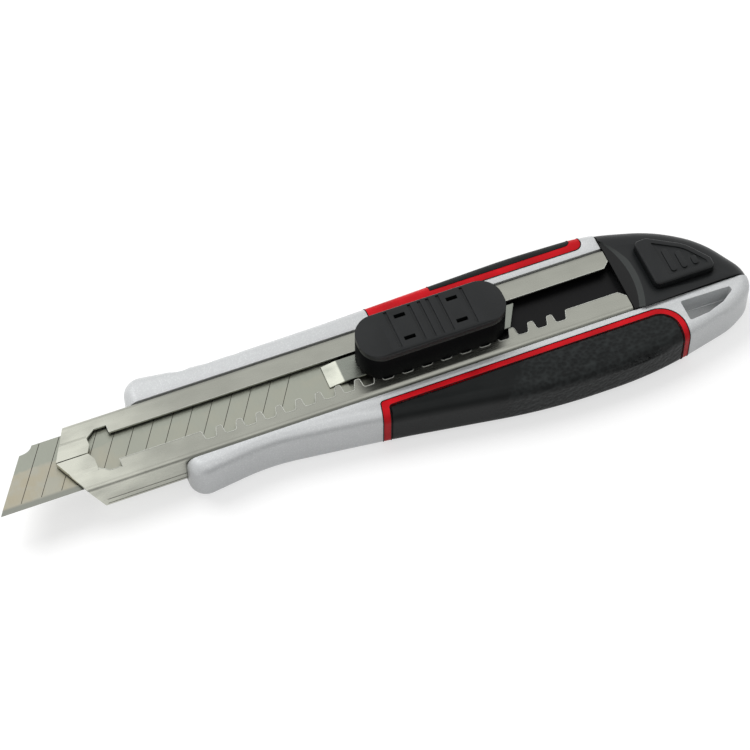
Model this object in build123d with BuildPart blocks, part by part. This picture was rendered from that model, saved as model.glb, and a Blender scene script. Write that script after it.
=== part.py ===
from build123d import *

import os
from math import radians, tan

# Snap-off utility knife: a cast body with rubber grips carries a folded steel blade channel.
# A slider with a self-locking pawl runs the blade, spare blades lie under it, and the tail cap
# pulls off to load them.
#
# Frame: +X runs from the blade tip to the tail, +Y to the blade's spine, +Z to the slider side.
# The origin lies on the flat back, on the blade's centre line, under the middle of the slider.
# Lengths are in millimetres.

os.makedirs("parts", exist_ok=True)

# ---- Gaps -----------------------------------------------------------------------------------
move_gap = 0.3  # between pieces that move past each other
mould_gap = 0.05  # between moulded skins and the casting under them
tray_gap = 0.1  # around the magazine tray in the channel
guide_gap = 0.15  # beside the blade in its tray
screw_gap = 0.05  # around a screw's shank
plate_gap = 0.2  # between the carrier, the pawl and the knob's keels

# ---- Blade ----------------------------------------------------------------------------------
blade_width = 18.0
blade_length = 99.5
blade_thickness = 0.5
blade_rear_x = -25.5
snap_angle = 57.8  # of the front edge and the snap lines, from the cutting edge
first_snap = 4.9  # from the tip to the first snap line, along the cutting edge
snap_pitch = 5.57
snap_lines = 14
snap_line_width = 0.22
snap_line_depth = 0.1
bevel_width = 1.8
blade_hole_radius = 1.5
blade_hole_inset = 3.4
broken_corner_length = 4.0  # what is missing along the spine at the front corner
broken_corner_height = 1.93

# ---- Channel --------------------------------------------------------------------------------
sheet = 0.7
rail_top = 14.0
rail_height = 11.0
rail_half_width = 11.0
rail_fold_radius = 1.6
nose_x = -106.8
nose_setback = 5.4  # how far the nose's outer corners stand behind its point
mouth_slant = 4.6  # how far the side walls lean back towards the floor
slit_width = 0.3
throat_x = -96.8
throat_length = 6.2
throat_taper = 2.7  # from the throat's front edge to where it is widest
throat_half_width = 6.9
throat_front_half_width = 4.8
throat_vee_depth = 1.2  # of the vee at the slit's end
throat_vee_half_width = 2.3
slot_half_width = 4.45
emboss_height = 0.5
emboss_half_width = 5.6
emboss_slope = 1.0
rail_rear_x = 55.9
lip_chamfer = 1.4
blade_drop = 1.42  # from the lips' outer face down to the blade

# Ratchet gaps in the lip on the cutting-edge side.
notch_pitch = 5.65
notch_count = 19
first_notch_x = -65.8
notch_depth = 2.95
tooth_tip_radius = 0.5
# Each gap's corners along the knife from its middle, in pitches: front flank's shoulder and foot,
# then the rear flank's foot and shoulder.
notch_flanks = (-0.35, -0.28, 0.24, 0.41)

# ---- Slider, carrier and pawl ------------------------------------------------------------------
notches_forward = 12  # from rest to the foremost stop
knob_length = 42.4
knob_width = 14.2
knob_height = 11.0  # above the lips
knob_corner_radius = 6.3
knob_edge_radius = 1.0
knob_wall = 1.6
cover_thickness = 2.6
keel_length = 4.0
keel_inset = 8.2  # from the knob's end to the middle of its keel
window_length = 3.2
window_width = 1.2
window_spacing_x = 15.14
window_spacing_y = 7.54
groove_width = 0.9
groove_depth = 0.5
groove_places = (-11.0, -4.1, -1.2, 1.2, 4.1, 11.0)
dish_length = 8.0
dish_depth = 1.1

carrier_sheet = 0.45
carrier_half_width = 8.4
carrier_length = 34.0
tongue_half_width = 3.6
tongue_sheet = 0.6
hook_overlap = 3.8  # of the hook over the blade's rear end
hook_length = 3.0
hook_thickness = 0.45
tab_length = 2.4
tab_thickness = 0.7
tab_height = 8.2
rear_edge_x = (22.3, 26.3)  # the tongue's slanted rear edge, ratchet side and spine side

pawl_sheet = 0.4
pawl_travel = 0.65
pawl_length = 16.0
pawl_lug_width = 0.85  # from the leaf into the slot, under the post
pawl_tooth_length = 2.2
pawl_tooth_rise = 0.8
pawl_post_height = 2.6
pawl_post_length = 3.0

# ---- Magazine ---------------------------------------------------------------------------------
tray_floor = 0.8
tray_deck = 0.8
tray_front_x = -95.0
tray_front_wall = 3.0
deck_gap = 3.5  # from the spare blades' rear ends to the deck
tray_deck_drop = 0.8  # from the spare blades' top down to the deck's top
spare_count = 5
spare_gap = 0.05
spare_front_x = -91.0
spring_sheet = 0.3
spring_width = 10.0
spring_length = 92.0

# ---- Body -------------------------------------------------------------------------------------
body_height = 13.6
body_edge_radius = 3.2
body_floor = 2.2
channel_side_gap = 0.25
tail_x = 90.7
upper_finger_x = -83.0
lower_finger_x = -74.4
scallop_places = (-66.0, -58.5, -50.6)
scallop_radius = 5.0
scallop_depth = 1.3
scallop_side_y = 17.6  # of the side that they are cut into
core_inset = 2.4  # thickness of the rubber and the trim over the casting

# Plan of the body: its corners and the radius that rounds each, from the finger on the spine side
# round the tail to the finger on the cutting-edge side and back under the channel.
body_corners = [
    ((upper_finger_x, 20.4), 5.2),
    ((-62.5, 17.3), 100.0),
    ((-25.3, 17.6), 600.0),
    ((30.0, 19.2), 250.0),
    ((54.0, 18.5), 60.0),
    ((72.3, 13.0), 40.0),
    ((83.8, 4.8), 28.0),
    ((tail_x, -7.9), 10.0),
    ((tail_x, -15.4), 8.0),
    ((82.1, -20.3), 20.0),
    ((57.1, -26.1), 110.0),
    ((25.1, -26.1), 170.0),
    ((-18.7, -18.8), 500.0),
    ((-52.0, -14.5), 60.0),
    ((lower_finger_x, -17.3), 4.8),
    ((lower_finger_x, -5.0), 8.0),
    ((upper_finger_x, 8.5), 6.0),
]

# Trim and grip on the cutting-edge side; the grip stands inside its red trim.
lower_trim_x = (-19.9, 67.3)
lower_trim_y = (-13.2, -12.9)
lower_trim_corner = 7.2
lower_trim_width = 1.9
lower_trim_lean = 12.0  # of its front end, forward towards the belly
lower_grip_corner = 5.4
lower_front_corner = 1.2

# Trim and grip on the spine side.
upper_trim_x = (-12.5, 51.7)
upper_trim_y = 13.3
upper_trim_corner = 2.4
upper_grip_x = (6.5, 48.6)
upper_grip_y = 15.7
upper_grip_corner = 1.6

# Lanyard window in the tail.
lanyard_window = [
    (68.9, -13.3),
    (83.7, -13.6),
    (83.9, -15.0),
    (80.0, -17.6),
    (74.7, -19.4),
    (68.9, -20.0),
]
window_corner = 0.6

# Screws that hold the channel to the casting, driven from the back.
screw_places = (-45.0, 35.0)
screw_radius = 1.45
screw_head_radius = 2.8
screw_head_height = 1.3
screw_head_sink = 0.2
screw_recess = 0.8
screw_socket_radius = 1.25
boss_radius = 4.6
floor_pocket_half_width = 8.0
floor_pocket_end_gap = 6.0

# ---- Tail cap ---------------------------------------------------------------------------------
cap_front_x = 56.2
cap_side_y = -11.05
cap_height = 14.4
cap_wall = 1.6
cap_roof = 1.0
cap_edge_radius = 5.0
plug_reach = 6.5  # into the magazine's rear
plug_length = 18.0
plug_clearance = 0.3
plug_post_radius = 2.4
plug_post_x = 60.5
catch_sheet = 0.3
catch_width = 6.0
catch_length = 12.0
pad_rise = 2.6
pad_edge_radius = 0.7
pad_corners = [
    ((64.0, -7.9), 1.6),
    ((64.0, 7.9), 1.6),
    ((68.0, 8.0), 1.6),
    ((77.3, 2.2), 12.0),
    ((82.0, -4.6), 1.6),
    ((82.0, -7.9), 1.6),
]
pad_recess_margin = 1.7
pad_recess_depth = 0.5
pad_strip_end_x = 68.5  # of the plain strip along the pad's front
pad_bars = ((70.8, 2.7), (74.0, 0.6), (77.4, -2.3))  # each bar's middle and upper end
pad_bar_width = 1.7
pad_bar_low_y = -5.3
nail_step = 0.45  # of the crescent that lies lower along the cap's front
nail_radius = 27.8
nail_reach = 3.6

# ---- Levels and places that follow -----------------------------------------------------------
rail_floor = rail_top - rail_height
lip_under = rail_top - sheet
blade_top = rail_top - blade_drop
blade_bottom = blade_top - blade_thickness
blade_tip_x = blade_rear_x - blade_length
snap_run = blade_width / tan(radians(snap_angle))
hook_tip_x = blade_rear_x - hook_overlap
nose_corner_x = nose_x + nose_setback
mouth_foot_x = nose_corner_x + mouth_slant
throat_rear_x = throat_x + throat_length
rail_length = rail_rear_x - nose_x
channel_inner = rail_half_width - sheet
tray_half_width = channel_inner - tray_gap
tray_inner = blade_width / 2 + guide_gap
tray_bottom = rail_floor + sheet + tray_gap
tray_floor_top = tray_bottom + tray_floor
tray_rear_x = rail_rear_x - 2 * move_gap
tray_wall_top = lip_under - tray_gap
spare_top = blade_bottom - guide_gap
deck_top = spare_top - tray_deck_drop
tray_deck_x = spare_front_x + blade_length + deck_gap
stack_height = spare_count * blade_thickness + (spare_count - 1) * spare_gap
stack_bottom = spare_top - stack_height
knob_bottom = rail_top + move_gap
knob_top = rail_top + knob_height
cover_bottom = knob_top - cover_thickness
carrier_bottom = blade_top + guide_gap
carrier_top = carrier_bottom + carrier_sheet
notch_at_rest_x = first_notch_x + notches_forward * notch_pitch
pawl_bottom = spare_top + pawl_travel + tray_gap
pawl_top = pawl_bottom + pawl_sheet
pawl_front_x = notch_at_rest_x - pawl_tooth_length
pawl_inner_y = -slot_half_width
pawl_outer_y = -slot_half_width - notch_depth + 2 * move_gap
pocket_half_width = rail_half_width + channel_side_gap
big = 400.0  # reaches past the whole knife


def rounded_plan(rounded_corners):
    """A closed face from its corners and the radius that rounds each."""
    with BuildSketch() as plan:
        with BuildLine():
            corners = [corner for corner, radius in rounded_corners]
            radii = [radius for corner, radius in rounded_corners]
            FilletPolyline(*corners, radius=radii, close=True)
        make_face()
    return plan.sketch


def body_form(top, inset=0.0, edge_radius=body_edge_radius):
    """The rounded outer form of body and cap up to the height top, all round inset."""
    with BuildPart() as form:
        with BuildSketch(Plane.XY.offset(inset)):
            add(rounded_plan(body_corners))
            if inset:
                offset(amount=-inset, kind=Kind.INTERSECTION)
        extrude(amount=top - 2 * inset)
        fillet(form.faces().filter_by(Axis.Z).edges(), radius=edge_radius - inset / 2)
    return form.part


def lower_region(inward, grow, corner):
    """Plan of the trim on the cutting-edge side, or of the grip that stands inward inside it."""
    front = lower_trim_x[0] + inward - grow
    rear = lower_trim_x[1] - inward + grow
    front_y = lower_trim_y[0] - inward + grow
    rear_y = lower_trim_y[1] - inward + grow
    foot = front - big * tan(radians(lower_trim_lean))
    with BuildSketch() as region:
        with BuildLine():
            Polyline((front, front_y), (rear, rear_y), (rear, -big), (foot, front_y - big), close=True)
        make_face()
        top_corners = region.vertices().sort_by(Axis.Y)[-2:]
        fillet(top_corners.sort_by(Axis.X)[-1], radius=corner + grow)
        fillet(region.vertices().sort_by(Axis.X)[:2].sort_by(Axis.Y)[-1], radius=lower_front_corner)
    return region.sketch


def upper_region(span, inner_y, grow, corner):
    """Plan of the trim or the grip on the spine side."""
    front = span[0] - grow
    rear = span[1] + grow
    with BuildSketch() as region:
        with BuildLine():
            low = inner_y - grow
            Polyline((front, low), (rear, low), (rear, big), (front, big), close=True)
        make_face()
        low_corners = region.vertices().sort_by(Axis.Y)[:2]
        fillet(low_corners.sort_by(Axis.X)[-1], radius=corner + grow)
    return region.sketch


def trim_prism(region):
    """A region's plan carried through the whole height of the body."""
    with BuildPart() as prism:
        with BuildSketch(Plane.XY.offset(-body_height)):
            add(region)
        extrude(amount=4 * body_height)
    return prism.part


def trim_skin(region):
    """The layer of the body's form that lies over its core within a region."""
    with BuildPart() as skin:
        add(body_form(body_height))
        add(trim_prism(region), mode=Mode.INTERSECT)
        add(body_form(body_height, core_inset - mould_gap), mode=Mode.SUBTRACT)
    return skin.part


def blade_outline(front_x):
    """A whole blade's plan, with its tip at front_x."""
    half = blade_width / 2
    with BuildSketch() as plan:
        with BuildLine():
            Polyline(
                (front_x, -half),
                (front_x + snap_run, half),
                (front_x + blade_length, half),
                (front_x + blade_length, -half),
                close=True,
            )
        make_face()
        with Locations((front_x + blade_length - blade_hole_inset, 0)):
            Circle(blade_hole_radius, mode=Mode.SUBTRACT)
    return plan.sketch


# ---- Blade channel: folded sheet with two lips, an embossed nose and a ratchet in one lip -----
with BuildPart() as blade_channel:
    with BuildSketch(Plane.XY.offset(rail_floor)) as channel_plan:
        with BuildLine():
            Polyline(
                (nose_x, 0),
                (nose_corner_x, rail_half_width),
                (rail_rear_x, rail_half_width),
                (rail_rear_x, -rail_half_width),
                (nose_corner_x, -rail_half_width),
                close=True,
            )
        make_face()
    extrude(amount=rail_height)
    folds = blade_channel.edges().filter_by(Axis.X)
    fillet(folds, radius=rail_fold_radius)
    with BuildSketch(Plane.YZ.offset(nose_x - sheet)):
        with Locations((0, rail_floor + rail_height / 2)):
            RectangleRounded(2 * channel_inner, rail_height - 2 * sheet, rail_fold_radius - sheet)
    extrude(amount=rail_length + 2 * sheet, mode=Mode.SUBTRACT)
    with BuildSketch(Plane.XZ):
        with BuildLine():
            Polyline(
                (nose_x - sheet, rail_floor - sheet),
                (mouth_foot_x, rail_floor - sheet),
                (mouth_foot_x, rail_floor),
                (nose_corner_x, lip_under),
                (nose_x - sheet, lip_under),
                close=True,
            )
        make_face()
    extrude(amount=2 * rail_half_width, both=True, mode=Mode.SUBTRACT)
    with BuildSketch(Plane.XY.offset(rail_top)):
        with BuildLine():
            rise = emboss_half_width / rail_half_width * nose_setback
            Polyline(
                (nose_x, 0),
                (nose_x + rise, emboss_half_width),
                (throat_x, emboss_half_width),
                (throat_x, -emboss_half_width),
                (nose_x + rise, -emboss_half_width),
                close=True,
            )
        make_face()
    with BuildSketch(Plane.XY.offset(rail_top + emboss_height)):
        with BuildLine():
            flat_half = emboss_half_width - emboss_slope
            rise = flat_half / rail_half_width * nose_setback
            Polyline(
                (nose_x, 0),
                (nose_x + rise, flat_half),
                (throat_x, flat_half),
                (throat_x, -flat_half),
                (nose_x + rise, -flat_half),
                close=True,
            )
        make_face()
    loft()
    # The slit in the nose, the throat behind it and the slot that the slider runs in.
    with BuildSketch(Plane.XY.offset(lip_under - sheet)) as slot_plan:
        with Locations((nose_x, 0)):
            Rectangle(2 * (throat_x - nose_x), slit_width)
        with BuildLine():
            Polyline(
                (throat_x - throat_vee_depth, 0),
                (throat_x, throat_vee_half_width),
                (throat_x, throat_front_half_width),
                (throat_x + throat_taper, throat_half_width),
                (throat_rear_x, throat_half_width),
                (throat_rear_x, -throat_half_width),
                (throat_x + throat_taper, -throat_half_width),
                (throat_x, -throat_front_half_width),
                (throat_x, -throat_vee_half_width),
                close=True,
            )
        make_face()
        with Locations((throat_rear_x, 0)):
            slot_length = 2 * (rail_rear_x - throat_rear_x)
            Rectangle(slot_length, 2 * slot_half_width, align=(Align.MIN, Align.CENTER))
        # Each gap has a steep front flank and a slanted rear one.
        for count in range(notch_count):
            notch_x = first_notch_x + count * notch_pitch
            with Locations((notch_x, -slot_half_width)):
                with BuildSketch(mode=Mode.PRIVATE) as notch:
                    with BuildLine():
                        shoulder, foot, rear_foot, rear_shoulder = [
                            flank * notch_pitch for flank in notch_flanks
                        ]
                        Polyline(
                            (shoulder, sheet),
                            (foot, -notch_depth),
                            (rear_foot, -notch_depth),
                            (rear_shoulder, 0),
                            (rear_shoulder, sheet),
                            close=True,
                        )
                    make_face()
                    fillet(notch.vertices().sort_by(Axis.Y)[:2], radius=notch_depth / 4)
                add(notch.sketch)
        # The teeth between the gaps have rounded tips.
        tips = slot_plan.vertices().filter_by_position(
            Axis.Y, -slot_half_width - tooth_tip_radius / 10, -slot_half_width + tooth_tip_radius / 10
        )
        fillet(
            tips.filter_by_position(Axis.X, first_notch_x - notch_pitch, rail_rear_x - lip_chamfer),
            radius=tooth_tip_radius,
        )
    extrude(amount=4 * sheet + emboss_height, mode=Mode.SUBTRACT)
    # The lips' rear ends are cut off at a slant.
    with BuildSketch(Plane.XY.offset(lip_under - sheet)):
        with Locations((rail_rear_x, slot_half_width), (rail_rear_x, -slot_half_width)):
            Rectangle(2 * lip_chamfer, 2 * lip_chamfer, rotation=45)
    extrude(amount=4 * sheet, mode=Mode.SUBTRACT)
    with Locations(*[(x, 0, rail_floor + sheet) for x in screw_places]):
        Hole(screw_radius + screw_gap, depth=2 * sheet)
blade_channel.part.label = "blade_channel"
export_step(blade_channel.part, "parts/blade_channel.step")

# ---- Magazine: tray, spring and spare blades ---------------------------------------------------
with BuildPart() as magazine_tray:
    tray_length = tray_rear_x - tray_front_x
    with BuildSketch(Plane.YZ.offset(tray_front_x)):
        with Locations((0, (tray_bottom + tray_wall_top) / 2)):
            tray_height = tray_wall_top - tray_bottom
            RectangleRounded(2 * tray_half_width, tray_height, rail_fold_radius - sheet - tray_gap)
    extrude(amount=tray_length)
    with BuildSketch(Plane.XY.offset(tray_floor_top)):
        with Locations((tray_front_x + tray_front_wall, 0)):
            Rectangle(2 * tray_length, 2 * tray_inner, align=(Align.MIN, Align.CENTER))
    extrude(amount=rail_height, mode=Mode.SUBTRACT)
    # The front wall ends under the blade that is in use.
    with BuildSketch(Plane.XY.offset(spare_top)):
        with Locations((tray_front_x, 0)):
            Rectangle(4 * tray_front_wall, 2 * tray_inner)
    extrude(amount=rail_height, mode=Mode.SUBTRACT)
    # A deck behind the spare blades closes the channel's floor; blades are loaded beneath it.
    with BuildSketch(Plane.XY.offset(deck_top - tray_deck)):
        with Locations((tray_deck_x, 0)):
            Rectangle(tray_rear_x - tray_deck_x, 2 * tray_inner, align=(Align.MIN, Align.CENTER))
    extrude(amount=tray_deck)
magazine_tray.part.label = "magazine_tray"
export_step(magazine_tray.part, "parts/magazine_tray.step")

with BuildPart() as magazine_spring:
    spring_start = spare_front_x
    spring_middle = spare_front_x + spring_length / 2
    spring_end = spare_front_x + spring_length
    crown = stack_bottom - spare_gap
    with BuildSketch(Plane.XZ):
        with BuildLine():
            foot = tray_floor_top
            ThreePointArc((spring_start, foot + spring_sheet), (spring_middle, crown),
                          (spring_end, foot + spring_sheet))
            Line((spring_end, foot + spring_sheet), (spring_end, foot))
            ThreePointArc((spring_end, foot), (spring_middle, crown - spring_sheet),
                          (spring_start, foot))
            Line((spring_start, foot), (spring_start, foot + spring_sheet))
        make_face()
    extrude(amount=spring_width / 2, both=True)
magazine_spring.part.label = "magazine_spring"
export_step(magazine_spring.part, "parts/magazine_spring.step")

with BuildPart() as spare_blades:
    for count in range(spare_count):
        level = stack_bottom + count * (blade_thickness + spare_gap)
        with BuildSketch(Plane.XY.offset(level)):
            add(blade_outline(spare_front_x))
        extrude(amount=blade_thickness)
spare_blades.part.label = "spare_blades"
export_step(spare_blades.part, "parts/spare_blades.step")

# ---- Blade in use: bevelled edge, snap lines and a front corner broken at the spine -------------
with BuildPart() as blade:
    half_width = blade_width / 2
    with BuildSketch(Plane.XY.offset(blade_bottom)):
        add(blade_outline(blade_tip_x))
    extrude(amount=blade_thickness)
    # The broken corner is a hollow arc from the front edge to the spine.
    with BuildSketch(Plane.XY.offset(blade_bottom)):
        with BuildLine():
            slope_run = broken_corner_height / tan(radians(snap_angle))
            low = (blade_tip_x + snap_run - slope_run, half_width - broken_corner_height)
            high = (low[0] + broken_corner_length, half_width)
            Bezier(low, (high[0] - broken_corner_length / 4, low[1]), high)
            corner = (blade_tip_x + snap_run - sheet, half_width + sheet)
            Polyline(high, (high[0], corner[1]), (low[0] - sheet, corner[1]), low)
        make_face()
    extrude(amount=blade_thickness, mode=Mode.SUBTRACT)
    # Both faces are ground to the edge.
    edge_y = -half_width
    middle = blade_bottom + blade_thickness / 2
    for face_z, past_z in ((blade_top, blade_top + sheet), (blade_bottom, blade_bottom - sheet)):
        with BuildSketch(Plane.YZ.offset(blade_tip_x - sheet)):
            with BuildLine():
                Polyline(
                    (edge_y, middle),
                    (edge_y + bevel_width, face_z),
                    (edge_y + bevel_width, past_z),
                    (edge_y - sheet, past_z),
                    (edge_y - sheet, middle),
                    close=True,
                )
            make_face()
        extrude(amount=2 * blade_length, mode=Mode.SUBTRACT)
    with BuildSketch(Plane.XY.offset(blade_top - snap_line_depth)):
        for count in range(snap_lines):
            foot_x = blade_tip_x + first_snap + count * snap_pitch
            with BuildLine():
                foot_run = bevel_width / tan(radians(snap_angle))
                Polyline(
                    (foot_x + foot_run, edge_y + bevel_width),
                    (foot_x + snap_run, half_width),
                    (foot_x + snap_run + snap_line_width, half_width),
                    (foot_x + foot_run + snap_line_width, edge_y + bevel_width),
                    close=True,
                )
            make_face()
    extrude(amount=blade_thickness, mode=Mode.SUBTRACT)
blade.part.label = "blade"
export_step(blade.part, "parts/blade.step")

# ---- Blade carrier: a plate under the lips, a tongue that hooks the blade, four upright tabs -----
with BuildPart() as blade_carrier:
    with BuildSketch(Plane.XY.offset(carrier_bottom)):
        Rectangle(carrier_length, 2 * carrier_half_width)
        # Room for the pawl's spring leaf on the ratchet side, and for the lug under its post.
        with Locations((pawl_front_x - move_gap, pawl_inner_y + plate_gap)):
            Rectangle(pawl_length + 2 * move_gap, big, align=(Align.MIN, Align.MAX),
                      mode=Mode.SUBTRACT)
        with Locations((notch_at_rest_x, pawl_inner_y + pawl_lug_width + plate_gap)):
            Rectangle(pawl_post_length + 2 * move_gap, big, align=(Align.CENTER, Align.MAX),
                      mode=Mode.SUBTRACT)
    extrude(amount=carrier_sheet)
    # The tongue rises into the slot, and its hook slopes down to the blade.
    tongue_rear_x = -carrier_length / 2 + tongue_sheet
    with BuildSketch(Plane.XZ):
        hook_top_x = hook_tip_x + hook_length
        with BuildLine():
            Polyline(
                (hook_tip_x, carrier_bottom),
                (hook_tip_x, carrier_bottom + hook_thickness),
                (hook_top_x, carrier_top + tongue_sheet),
                (tongue_rear_x, carrier_top + tongue_sheet),
                (tongue_rear_x, carrier_bottom),
                (tongue_rear_x - tongue_sheet, carrier_bottom),
                (tongue_rear_x - tongue_sheet, carrier_top),
                (hook_top_x, carrier_top),
                (hook_tip_x + hook_thickness, carrier_bottom),
                close=True,
            )
        make_face()
    extrude(amount=tongue_half_width, both=True)
    with BuildSketch(Plane.XY.offset(carrier_bottom)):
        with GridLocations(window_spacing_x, window_spacing_y, 2, 2):
            Rectangle(tab_length, tab_thickness)
    extrude(amount=tab_height)
    # A tongue with a slanted rear edge shows behind the slider.
    with BuildSketch(Plane.XY.offset(carrier_bottom)):
        with BuildLine():
            rear_start = carrier_length / 2 - carrier_sheet
            Polyline(
                (rear_start, tongue_half_width),
                (rear_edge_x[1], tongue_half_width),
                (rear_edge_x[0], -tongue_half_width),
                (rear_start, -tongue_half_width),
                close=True,
            )
        make_face()
    extrude(amount=carrier_sheet)
blade_carrier.part.label = "blade_carrier"
export_step(blade_carrier.part, "parts/blade_carrier.step")

# ---- Lock pawl: a leaf with a tooth that stands in the ratchet gap, and a post for the knob ------
with BuildPart() as lock_pawl:
    leaf_width = pawl_inner_y - pawl_outer_y
    with BuildSketch(Plane.XY.offset(pawl_bottom)):
        with Locations((pawl_front_x, pawl_inner_y)):
            Rectangle(pawl_length, leaf_width, align=(Align.MIN, Align.MAX))
        with Locations((notch_at_rest_x, pawl_inner_y)):
            Rectangle(pawl_post_length, pawl_lug_width, align=(Align.CENTER, Align.MIN))
    extrude(amount=pawl_sheet)
    with BuildSketch(Plane.XY.offset(pawl_top)):
        with Locations((notch_at_rest_x, pawl_outer_y)):
            Rectangle(pawl_tooth_length, leaf_width, align=(Align.CENTER, Align.MIN))
    extrude(amount=pawl_tooth_rise)
    with BuildSketch(Plane.XY.offset(pawl_top)):
        with Locations((notch_at_rest_x, pawl_inner_y + pawl_lug_width)):
            Rectangle(pawl_post_length, pawl_sheet, align=(Align.CENTER, Align.MAX))
    extrude(amount=pawl_post_height)
lock_pawl.part.label = "lock_pawl"
export_step(lock_pawl.part, "parts/lock_pawl.step")


# ---- Slider: a hollow base whose keels run in the slot, and a grooved cover -----------------------
def knob_plan(inset):
    """The slider's plan: a rounded bar."""
    with BuildSketch() as plan:
        RectangleRounded(knob_length - 2 * inset, knob_width - 2 * inset, knob_corner_radius - inset)
    return plan.sketch


with BuildPart() as slider_base:
    with BuildSketch(Plane.XY.offset(knob_bottom)):
        add(knob_plan(0))
    extrude(amount=cover_bottom - knob_bottom)
    with BuildSketch(Plane.XY.offset(knob_bottom)):
        add(knob_plan(knob_wall))
    extrude(amount=cover_bottom - knob_bottom, mode=Mode.SUBTRACT)
    # Two keels with cross bars keep the slider straight in the slot.
    keel_bottom = carrier_top + plate_gap
    keel_x = knob_length / 2 - keel_inset
    with BuildSketch(Plane.XY.offset(knob_bottom)):
        with Locations((-keel_x, 0), (keel_x, 0)):
            Rectangle(keel_length, knob_width - knob_wall)
    extrude(amount=knob_wall)
    with BuildSketch(Plane.XY.offset(keel_bottom)):
        with Locations((-keel_x, 0), (keel_x, 0)):
            Rectangle(keel_length, 2 * (slot_half_width - move_gap))
    extrude(amount=knob_bottom - keel_bottom)
slider_base.part.label = "slider_base"
export_step(slider_base.part, "parts/slider_base.step")

with BuildPart() as slider_cover:
    with BuildSketch(Plane.XY.offset(cover_bottom)):
        add(knob_plan(0))
    extrude(amount=cover_thickness)
    fillet(slider_cover.faces().sort_by(Axis.Z)[-1].edges(), radius=knob_edge_radius)
    # The ends are dished for the thumb.
    with BuildSketch(Plane.XZ):
        for side in (-1, 1):
            end = side * knob_length / 2
            with BuildLine():
                Polyline(
                    (end - side * dish_length, knob_top),
                    (end + side * dish_length / 4, knob_top - dish_depth),
                    (end + side * dish_length / 4, knob_top + dish_depth),
                    (end - side * dish_length, knob_top + dish_depth),
                    close=True,
                )
            make_face()
    extrude(amount=knob_width, both=True, mode=Mode.SUBTRACT)
    with BuildSketch(Plane.XY.offset(knob_top - groove_depth)):
        with Locations(*[(x, 0) for x in groove_places]):
            Rectangle(groove_width, knob_width - 2 * knob_edge_radius)
    extrude(amount=2 * groove_depth, mode=Mode.SUBTRACT)
    with BuildSketch(Plane.XY.offset(cover_bottom)):
        with GridLocations(window_spacing_x, window_spacing_y, 2, 2):
            Rectangle(window_length, window_width)
    extrude(amount=cover_thickness, mode=Mode.SUBTRACT)
slider_cover.part.label = "slider_cover"
export_step(slider_cover.part, "parts/slider_cover.step")

# ---- Body casting --------------------------------------------------------------------------------
with BuildPart() as body_casting:
    add(body_form(body_height))
    # Seat of the channel.
    with BuildSketch(Plane.XY.offset(rail_floor)):
        with Locations((cap_front_x, 0)):
            Rectangle(big, 2 * pocket_half_width, align=(Align.MAX, Align.CENTER))
    extrude(amount=big, mode=Mode.SUBTRACT)
    # The cap takes the whole tail above its side line.
    with BuildSketch(Plane.XY.offset(-big / 2)):
        with Locations((cap_front_x - move_gap, cap_side_y - move_gap)):
            Rectangle(big, big, align=(Align.MIN, Align.MIN))
    extrude(amount=big, mode=Mode.SUBTRACT)
    # Seats of the trims and grips, down to the casting's core.
    for trim_seat in (
        lower_region(0, mould_gap, lower_trim_corner),
        upper_region(upper_trim_x, upper_trim_y, mould_gap, upper_trim_corner),
    ):
        with BuildPart(mode=Mode.PRIVATE) as seat:
            add(trim_prism(trim_seat))
            add(body_form(body_height, core_inset), mode=Mode.SUBTRACT)
        add(seat.part, mode=Mode.SUBTRACT)
    # Three shallow finger hollows in the spine side.
    with BuildSketch(Plane.XY.offset(-body_height)):
        hollow_y = scallop_side_y + scallop_radius - scallop_depth
        with Locations(*[(x, hollow_y) for x in scallop_places]):
            Circle(scallop_radius)
    extrude(amount=3 * body_height, mode=Mode.SUBTRACT)
    # Pockets between the screw bosses keep the floor to an even wall.
    with BuildSketch(Plane.XY.offset(body_floor)):
        pocket_front = lower_finger_x + floor_pocket_end_gap
        pocket_rear = cap_front_x - floor_pocket_end_gap
        with Locations((pocket_front, 0)):
            Rectangle(pocket_rear - pocket_front, 2 * floor_pocket_half_width,
                      align=(Align.MIN, Align.CENTER))
        with Locations(*[(x, 0) for x in screw_places]):
            Circle(boss_radius, mode=Mode.SUBTRACT)
    extrude(amount=rail_floor - body_floor, mode=Mode.SUBTRACT)
    # Lanyard window.
    with BuildSketch(Plane.XY.offset(-body_height)) as window:
        with BuildLine():
            Polyline(*lanyard_window, close=True)
        make_face()
        fillet(window.vertices(), radius=window_corner)
    extrude(amount=3 * body_height, mode=Mode.SUBTRACT)
    with Locations(*[Location((x, 0, 0), (180, 0, 0)) for x in screw_places]):
        CounterSinkHole(screw_radius + screw_gap, screw_head_radius + screw_gap,
                        depth=rail_floor + sheet)
body_casting.part.label = "body_casting"
export_step(body_casting.part, "parts/body_casting.step")

# ---- Grips and trims ------------------------------------------------------------------------------
grip_inward = lower_trim_width
with BuildPart() as grip_lower:
    add(trim_skin(lower_region(grip_inward, 0, lower_grip_corner)))
grip_lower.part.label = "grip_lower"
export_step(grip_lower.part, "parts/grip_lower.step")

with BuildPart() as trim_lower:
    add(trim_skin(lower_region(0, 0, lower_trim_corner)))
    add(trim_prism(lower_region(grip_inward, mould_gap, lower_grip_corner)), mode=Mode.SUBTRACT)
trim_lower.part.label = "trim_lower"
export_step(trim_lower.part, "parts/trim_lower.step")

with BuildPart() as grip_upper:
    add(trim_skin(upper_region(upper_grip_x, upper_grip_y, 0, upper_grip_corner)))
grip_upper.part.label = "grip_upper"
export_step(grip_upper.part, "parts/grip_upper.step")

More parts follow.
